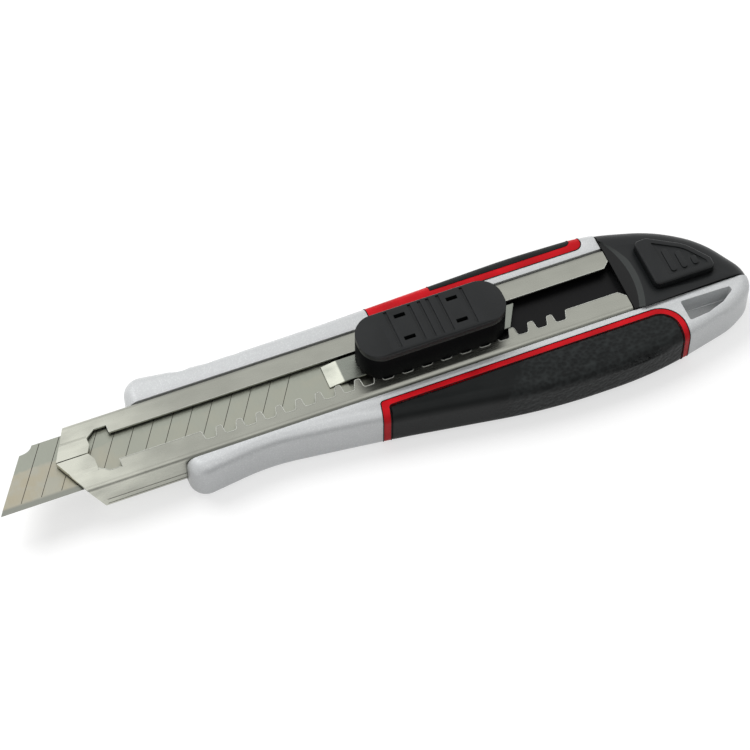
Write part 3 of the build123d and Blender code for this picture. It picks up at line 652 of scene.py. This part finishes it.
def sheared_steel_highlight(name, base):
    """Burr of a sheared sheet: torn and dull, with a pale colour that is a painted highlight, so
    that it reads as a light line.
    """
    material, tree, shader = new_material(name, base, 0.4, 0.5)
    torn = noise(tree, 0.4 * MM, 2.0)
    face = blend_colours(tree, spread(tree, torn, *NOISE), scaled(base, 0.8), base)
    tree.links.new(face, shader.inputs["Base Color"])
    bump(tree, shader, torn, 0.01 * MM)
    return material


def blade_steel(colours, sizes):
    """Ground carbon steel: cross-ground grey, with a painted warm and tan reflection on the lower
    half near the tip, and a duller bevel.
    """
    material, tree, shader = new_material("Ground blade steel", colours.blade, 1.0, 0.34)
    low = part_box("blade")[0]
    x, y, _ = object_axes(tree)
    patches = noise(tree, 5 * MM, 3.0)
    # A wavering line along the middle parts the cool upper half from the lower one, which carries
    # the painted warm reflection.
    waver = maths(tree, "MULTIPLY_ADD", patches, 5 * MM, y)
    lower = spread(tree, waver, 5.0 * MM, 4.2 * MM)
    near_tip = spread(tree, x, low.x + 38 * MM, low.x + 8 * MM, 0.12, 1.0)
    warm = maths(tree, "MULTIPLY", lower, near_tip)
    face = blend_colours(tree, warm, colours.blade, colours.blade_warm_reflection)
    # Tan patches within the painted reflection.
    tint = maths(tree, "MULTIPLY", warm, spread(tree, patches, 0.42, 0.62))
    face = blend_colours(tree, tint, face, colours.blade_tan_reflection)
    honed = spread(tree, y, low.y + 1.05 * sizes.bevel, low.y + 0.7 * sizes.bevel)
    face = blend_colours(tree, honed, face, colours.blade_edge)
    tree.links.new(face, shader.inputs["Base Color"])
    ground = noise(tree, sizes.brush, 2.0, (1, 30, 1))
    vary_roughness(tree, shader, ground, 0.3, 0.42)
    bump(tree, shader, ground, 0.001 * MM)
    return material


def moulded_rubber(name, base, roughness, grain=0.0):
    """Moulded thermoplastic rubber: satin, faintly mottled, with a leather grain where wanted."""
    material, tree, shader = new_material(name, base, 0.0, roughness)
    shader.inputs["Specular IOR Level"].default_value = 0.16
    fine = noise(tree, 0.35 * MM, 3.0)
    cloud = noise(tree, 8 * MM, 3.0)
    face = blend_colours(tree, spread(tree, cloud, *NOISE), base, scaled(base, 1.35))
    vary_roughness(tree, shader, fine, roughness - 0.06, roughness + 0.1)
    if not grain:
        tree.links.new(face, shader.inputs["Base Color"])
        bump(tree, shader, fine, 0.012 * MM)
        return material
    cells = object_pattern(tree, "ShaderNodeTexVoronoi", grain, (1, 0.8, 1))
    cells.feature = "SMOOTH_F1"
    x, y, _ = object_axes(tree)
    along = maths(tree, "MULTIPLY_ADD", y, GRAIN_LEAN, x)
    start = spread(tree, along, GRAIN_START, GRAIN_START + GRAIN_FADE)
    height = maths(tree, "MULTIPLY", cells.outputs["Distance"], start)
    # The grain's crests are painted a little paler than its valleys, a painted highlight.
    crest_highlight = spread(tree, height, 0.3, 0.75)
    face = blend_colours(tree, crest_highlight, face, scaled(base, 3.2))
    tree.links.new(face, shader.inputs["Base Color"])
    bump(tree, shader, maths(tree, "MULTIPLY_ADD", fine, 0.12, height), 0.16 * MM)
    return material


def moulded_plastic(name, base, roughness, gloss=0.32):
    """Black moulded ABS with a spark-eroded satin surface."""
    material, tree, shader = new_material(name, base, 0.0, roughness)
    shader.inputs["Specular IOR Level"].default_value = gloss
    spark = noise(tree, 0.3 * MM, 2.0)
    cloud = noise(tree, 6 * MM, 3.0)
    face = blend_colours(tree, spread(tree, cloud, *NOISE), base, scaled(base, 1.2))
    tree.links.new(face, shader.inputs["Base Color"])
    vary_roughness(tree, shader, spark, roughness - 0.05, roughness + 0.08)
    bump(tree, shader, spark, 0.012 * MM)
    return material


def crescent_plastic(colours, sizes):
    """The cap's satin black ABS, with a painted highlight on its crescent's slope and painted shade
    in the hollow before it.
    """
    material = moulded_plastic("Satin black cap", colours.plastic, 0.4)
    tree = material.node_tree
    base = tree.nodes["Principled BSDF"].inputs["Base Color"]
    x, y, z = object_axes(tree)
    plan = add_node(tree, "ShaderNodeCombineXYZ", {"X": x, "Y": y, "Z": 0.0})
    centre = add_node(
        tree,
        "ShaderNodeVectorMath",
        {0: plan.outputs["Vector"], 1: NAIL_CENTRE.to_3d()},
        operation="DISTANCE",
    )
    away = centre.outputs["Value"]
    width = spread(tree, y, NAIL_TOP, NAIL_TOP - NAIL_FADE, 0.0, sizes.nail)
    slope_or_nick = maths(tree, "LESS_THAN", away, maths(tree, "ADD", width, NAIL_RADIUS))
    nick_shade = maths(tree, "LESS_THAN", away, NAIL_RADIUS)
    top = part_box("end_cap")[1].z
    on_top = spread(tree, z, top - 0.6 * MM, top - 0.5 * MM)
    # Painted highlight on the crescent's slope, then painted shade in the nick.
    for area, paint in ((slope_or_nick, colours.cap_slope_highlight), (nick_shade, colours.nick_shade)):
        share = maths(tree, "MULTIPLY", area, on_top)
        tree.links.new(blend_colours(tree, share, base.links[0].from_socket, paint), base)
    return material


def rays_that_see(tree):
    """The share of a ray that sees the studio itself: camera, mirror and glass rays."""
    rays = add_node(tree, "ShaderNodeLightPath")
    seen = rays.outputs["Is Camera Ray"]
    for kind in ("Is Glossy Ray", "Is Transmission Ray"):
        seen = maths(tree, "MAXIMUM", seen, rays.outputs[kind])
    return seen


def studio_white(colours):
    """Matt paper sweep that reads white to the eye and in reflections, and keeps a soft shadow."""
    material, tree, shader = new_material("Studio paper", colours.floor, 0.0, 0.9)
    bump(tree, shader, noise(tree, 2 * MM, 2.0), 0.01 * MM)
    glow = add_node(tree, "ShaderNodeEmission", {"Color": WHITE, "Strength": PAPER_GLOW})
    lit = add_node(
        tree,
        "ShaderNodeAddShader",
        {0: shader.outputs["BSDF"], 1: glow.outputs["Emission"]},
    )
    choice = add_node(
        tree,
        "ShaderNodeMixShader",
        {0: rays_that_see(tree), 1: shader.outputs["BSDF"], 2: lit.outputs["Shader"]},
    )
    tree.links.new(choice.outputs["Shader"], tree.nodes["Material Output"].inputs["Surface"])
    return material


# ---- Studio ------------------------------------------------------------------------------------


def studio_world():
    """Soft even light, with patches that only mirrors see and plain white for the camera."""
    world = bpy.data.worlds.new("Studio")
    world.use_nodes = True
    tree = world.node_tree
    ray = add_node(tree, "ShaderNodeTexCoord")
    strength = MIRROR_LEVEL
    for toward, start, full, gain in MIRROR_PATCHES:
        facing = add_node(
            tree,
            "ShaderNodeVectorMath",
            {0: ray.outputs["Generated"], 1: Vector(toward).normalized()},
            operation="DOT_PRODUCT",
        )
        glow = spread(tree, facing.outputs["Value"], start, full, 0.0, gain)
        strength = maths(tree, "ADD", glow, strength)
    white = add_node(tree, "ShaderNodeLightPath").outputs["Is Camera Ray"]
    level = add_node(
        tree, "ShaderNodeMix", {"Factor": white, "A": strength, "B": 1.0}, data_type="FLOAT"
    )
    soft = add_node(tree, "ShaderNodeBackground", {"Color": WHITE, "Strength": SOFT_LEVEL})
    seen = add_node(
        tree, "ShaderNodeBackground", {"Color": WHITE, "Strength": level.outputs["Result"]}
    )
    choice = add_node(
        tree,
        "ShaderNodeMixShader",
        {0: rays_that_see(tree), 1: soft.outputs["Background"], 2: seen.outputs["Background"]},
    )
    tree.nodes.remove(tree.nodes["Background"])
    tree.links.new(choice.outputs["Shader"], tree.nodes["World Output"].inputs["Surface"])
    return world


def hang_lamps(scene):
    """The round lamps, aimed at the knife and out of its reflections."""
    for name, place, size, power in LAMPS:
        lamp = bpy.data.lights.new(name, "AREA")
        lamp.shape = "DISK"
        lamp.size = size
        lamp.energy = power
        holder = bpy.data.objects.new(name, lamp)
        holder.location = place
        holder.rotation_euler = (-Vector(place)).to_track_quat("-Z", "Y").to_euler()
        holder.visible_glossy = False
        scene.collection.objects.link(holder)


def set_camera(scene):
    """The camera, from the side of the cutting edge and above."""
    camera = bpy.data.cameras.new("camera")
    camera.lens = CAMERA_LENS
    camera.sensor_width = SENSOR
    camera.clip_start, camera.clip_end = VISIBLE
    holder = bpy.data.objects.new("camera", camera)
    holder.location = CAMERA_PLACE
    holder.rotation_euler = (math.pi / 2 - CAMERA_ELEVATION, 0, CAMERA_AZIMUTH)
    scene.collection.objects.link(holder)
    scene.camera = holder


# ---- Operators ---------------------------------------------------------------------------------


class KNIFE_OT_blades(bpy.types.Operator):
    """Finish the blade in use and the spare blades"""

    bl_idname = "knife.blades"
    bl_label = "Blades"

    def execute(self, context):
        scene = context.scene
        steel = blade_steel(scene.knife_colours, scene.knife_sizes)
        dress("blade", steel)
        dress("spare_blades", steel)

        # Oxide darkens the snap lines.
        sizes = scene.knife_sizes
        low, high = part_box("blade")
        foot_x = low.x + sizes.first_snap + sizes.bevel / SNAP_SLOPE
        spine_x = low.x + sizes.first_snap + (high.y - low.y) / SNAP_SLOPE
        foot_y = low.y + sizes.bevel + SNAP_MARGIN
        spine_y = high.y - SNAP_MARGIN
        outline = (
            (foot_x, foot_y),
            (foot_x + sizes.snap_width, foot_y),
            (spine_x + sizes.snap_width, spine_y),
            (spine_x, spine_y),
        )
        oxide = brushed_steel("Dark oxide", scene.knife_colours.score, sizes.brush, 0.6)
        foot, top = (high.z - depth for depth in SNAP_DEPTHS)
        line = slab("snap_lines", outline, foot, top)
        values = {"Count": sizes.snap_lines, "Pitch": sizes.snap_pitch, "Material": oxide}
        run_tree(line, row_of_bars_tree(), values)
        finish(line, oxide, "carriage", "blade_steel")
        return {"FINISHED"}


class KNIFE_OT_channel(bpy.types.Operator):
    """Build the folded blade channel with a painted highlight along its sheared edges"""

    bl_idname = "knife.channel"
    bl_label = "Blade channel"

    def execute(self, context):
        colours = context.scene.knife_colours
        sizes = context.scene.knife_sizes
        # The sheet gets a painted highlight that grows towards the mouth.
        steel = brushed_steel(
            "Brushed stainless sheet",
            colours.sheet,
            sizes.brush,
            0.3,
            colours.sheet_mouth_highlight,
            (MOUTH + MOUTH_HIGHLIGHT_LENGTH, MOUTH),
        )
        # The burr's pale colour is a painted highlight.
        bright = sheared_steel_highlight("Sheared edge with painted highlight", colours.burr)
        channel = broken_copy("blade_channel", "channel_sheet", SHEET_EDGE * sizes.edge, segments=1)
        finish(channel, steel, "handle", "channel_steel", "blade_channel")

        edges = outline_edges("blade_channel", LIP_TOP, lambda p: abs(p.y) < LIP_SIDE)
        burr = bead_along("ratchet_burr", edges, sizes.burr, sizes.bead_sides, bright)
        finish(burr, bright, "handle", "channel_steel")

        # Two fine rolled lines run low along each side wall, from the mouth into the casting.
        low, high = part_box("blade_channel")
        lines = []
        for side in (low.y, high.y):
            for share in WALL_LINE_HEIGHTS:
                z = low.z + share * (LIP_TOP - low.z)
                lines.append([(low.x + WALL_LINE_START, side, z), (0.5 * low.x, side, z)])
        rolled = brushed_steel("Rolled line", colours.score, sizes.brush, 0.5)
        scores = bead_along("wall_lines", lines, sizes.score, sizes.bead_sides, rolled)
        finish(scores, rolled, "handle", "channel_steel")
        return {"FINISHED"}


class KNIFE_OT_carriage(bpy.types.Operator):
    """Finish the carrier and the lock pawl"""

    bl_idname = "knife.carriage"
    bl_label = "Carrier and pawl"

    def execute(self, context):
        colours = context.scene.knife_colours
        sizes = context.scene.knife_sizes
        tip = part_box("blade_carrier")[0].x
        slope_end = tip + HOOK_SLOPE
        # The hook's slope gets the painted highlight colour.
        steel = brushed_steel(
            "Plain carrier sheet",
            colours.carrier,
            sizes.brush,
            0.28,
            colours.hook,
            (slope_end + 0.2 * MM, slope_end - 0.3 * MM),
        )
        carrier = cad_copy("blade_carrier", "carrier_plate")
        # The hook's tip reaches further over the blade and thins, so that its slope shows.
        blade_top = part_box("blade")[1].z
        for vertex in carrier.data.vertices:
            if vertex.co.x < tip + HOOK_FRONT:
                vertex.co.x -= sizes.hook_reach
                if vertex.co.z > blade_top + sizes.hook_tip:
                    vertex.co.z -= sizes.hook_tip
        soften(carrier, SHEET_EDGE * sizes.edge, segments=1)
        shade(carrier, 8)
        finish(carrier, steel, "carriage", "channel_steel", "blade_carrier")
        dress("lock_pawl", brushed_steel("Tempered spring leaf", colours.spring, sizes.brush, 0.32))
        return {"FINISHED"}


class KNIFE_OT_slider(bpy.types.Operator):
    """Build the slider's base and its grooved cover"""

    bl_idname = "knife.slider"
    bl_label = "Slider"

    def execute(self, context):
        colours = context.scene.knife_colours
        sizes = context.scene.knife_sizes
        satin = moulded_plastic("Satin black slider", colours.plastic, 0.4)
        # The skirt's matt finish is real. Its darker colour is painted shade on the slider's sides.
        matt_shaded = moulded_plastic("Matt black skirt", colours.skirt, 0.55, 0.04)
        for node, name, plastic in (
            ("slider_base", "slider_skirt", matt_shaded),
            ("slider_cover", "slider_top", satin),
        ):
            piece = broken_copy(node, name, sizes.edge)
            finish(piece, plastic, "knob", "black_plastic", node)
        return {"FINISHED"}


class KNIFE_OT_casting(bpy.types.Operator):
    """Build the lacquered casting, its window's parting line and the screws"""

    bl_idname = "knife.casting"
    bl_label = "Casting"

    def execute(self, context):
        colours = context.scene.knife_colours
        sizes = context.scene.knife_sizes
        lacquer = silver_lacquer(colours, sizes)
        casting = broken_copy("body_casting", "casting", MOULDED_EDGE * sizes.edge, angle=40)
        finish(casting, lacquer, "handle", "painted_casting", "body_casting")

        # A raised parting line runs round the lanyard window about half way down.
        near, far = WINDOW
        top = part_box("body_casting")[1].z
        rim = outline_edges(
            "body_casting", top, lambda p: near.x < p.x < far.x and near.y < p.y < far.y
        )
        path = [[(x, y, WINDOW_SEAM * top) for x, y, _ in line] for line in rim]
        seam = bead_along("window_seam", path, sizes.seam, sizes.bead_sides, lacquer)
        finish(seam, lacquer, "handle", "painted_casting")
        dress("channel_screws", brushed_steel("Zinc-plated screw", colours.zinc, sizes.brush, 0.35))
        return {"FINISHED"}


class KNIFE_OT_grips(bpy.types.Operator):
    """Build the black grips and the red trims round them"""

    bl_idname = "knife.grips"
    bl_label = "Grips and trims"

    def execute(self, context):
        colours = context.scene.knife_colours
        sizes = context.scene.knife_sizes
        red = moulded_rubber("Red trim rubber", colours.trim, 0.42)
        plain = moulded_rubber("Black grip rubber", colours.rubber, 0.46)
        grained = moulded_rubber("Leather-grained grip rubber", colours.rubber, 0.44, sizes.grain)
        for node, name, slot, material in (
            ("trim_lower", "trim_belly", "red_trim", red),
            ("trim_upper", "trim_spine", "red_trim", red),
            ("grip_upper", "grip_spine", "grip_rubber", plain),
        ):
            piece = broken_copy(node, name, MOULDED_EDGE * sizes.edge, angle=40)
            finish(piece, material, "handle", slot, node)

        # Dark joints part the trims from the casting and from the grips.
        dark = moulded_rubber("Dark rubber joint", colours.tray, 0.5)
        for node, name in (("trim_lower", "belly_joint"), ("trim_upper", "spine_joint")):
            lines = sharp_edges(node, 60, JOINT_FOOT)
            joint = bead_along(name, lines, sizes.joint, sizes.bead_sides, dark)
            finish(joint, dark, "handle", "grip_rubber")

        grip = cad_copy("grip_lower", "grip_belly")
        moulded_skin(grip, sizes.skin)
        hollow_along(grip, CREASE, sizes.crease, sizes.crease_width)
        shade(grip, 60)
        finish(grip, grained, "handle", "grip_rubber", "grip_lower")
        return {"FINISHED"}


class KNIFE_OT_cap(bpy.types.Operator):
    """Build the tail cap and its thumb pad"""

    bl_idname = "knife.cap"
    bl_label = "Tail cap"

    def execute(self, context):
        colours = context.scene.knife_colours
        sizes = context.scene.knife_sizes
        plastic = crescent_plastic(colours, sizes)
        rounding = MOULDED_EDGE * sizes.edge
        cap = cad_copy("end_cap", "tail_cap")
        draw_out_nail(cap, sizes.nail)
        soften(cap, rounding)
        shade(cap, 40)
        crease_nail(cap, sizes.nail)
        finish(cap, plastic, "cap", "black_plastic", "end_cap")
        pad = broken_copy("thumb_pad", "cap_pad", rounding, angle=40)
        finish(pad, plastic, "cap", "black_plastic", "thumb_pad")
        dress("cap_plug", moulded_plastic("Plain black plug", colours.tray, 0.5))
        dress("cap_catch", brushed_steel("Catch leaf", colours.spring, sizes.brush, 0.32))
        return {"FINISHED"}


class KNIFE_OT_magazine(bpy.types.Operator):
    """Finish the magazine tray and its spring"""

    bl_idname = "knife.magazine"
    bl_label = "Magazine"

    def execute(self, context):
        colours = context.scene.knife_colours
        sizes = context.scene.knife_sizes
        dress("magazine_tray", moulded_plastic("Black magazine plastic", colours.tray, 0.36, 0.17))
        spring = brushed_steel("Magazine spring", colours.spring, sizes.brush, 0.32)
        dress("magazine_spring", spring)
        return {"FINISHED"}


class KNIFE_OT_stage(bpy.types.Operator):
    """Set the floor, the lights, the world and the camera"""

    bl_idname = "knife.stage"
    bl_label = "Studio"

    def execute(self, context):
        scene = context.scene
        scene.view_settings.view_transform = "Standard"
        mesh = bpy.data.meshes.new("floor")
        signs = ((-1, -1), (1, -1), (1, 1), (-1, 1))
        corners = [(x * FLOOR_HALF, y * FLOOR_HALF, FLOOR_Z) for x, y in signs]
        mesh.from_pydata(corners, [], [(0, 1, 2, 3)])
        floor = link("floor", mesh)
        mesh.materials.append(studio_white(scene.knife_colours))
        scene.world = studio_world()
        hang_lamps(scene)
        set_camera(scene)
        return {"FINISHED"}


OPERATORS = (
    KNIFE_OT_stage,
    KNIFE_OT_blades,
    KNIFE_OT_channel,
    KNIFE_OT_carriage,
    KNIFE_OT_slider,
    KNIFE_OT_casting,
    KNIFE_OT_grips,
    KNIFE_OT_cap,
    KNIFE_OT_magazine,
)


class KNIFE_PT_panel(bpy.types.Panel):
    """Lists the knife's settings and builders"""

    bl_label = "Utility Knife"
    bl_idname = "KNIFE_PT_panel"
    bl_space_type = "VIEW_3D"
    bl_region_type = "UI"
    bl_category = "Knife"

    def draw(self, context):
        for settings in (context.scene.knife_colours, context.scene.knife_sizes):
            for name in settings.__annotations__:
                self.layout.prop(settings, name)
        for operator in OPERATORS:
            self.layout.operator(operator.bl_idname)


CLASSES = (KnifeColours, KnifeSizes, *OPERATORS, KNIFE_PT_panel)


def register():
    """Register the classes and hang the settings on the scene."""
    for cls in CLASSES:
        bpy.utils.register_class(cls)
    bpy.types.Scene.knife_colours = PointerProperty(type=KnifeColours)
    bpy.types.Scene.knife_sizes = PointerProperty(type=KnifeSizes)


def unregister():
    """Undo register."""
    del bpy.types.Scene.knife_sizes
    del bpy.types.Scene.knife_colours
    for cls in reversed(CLASSES):
        bpy.utils.unregister_class(cls)


def main():
    """Run every builder."""
    register()
    for operator in OPERATORS:
        group, name = operator.bl_idname.split(".")
        getattr(getattr(bpy.ops, group), name)()


if __name__ == "__main__":
    main()
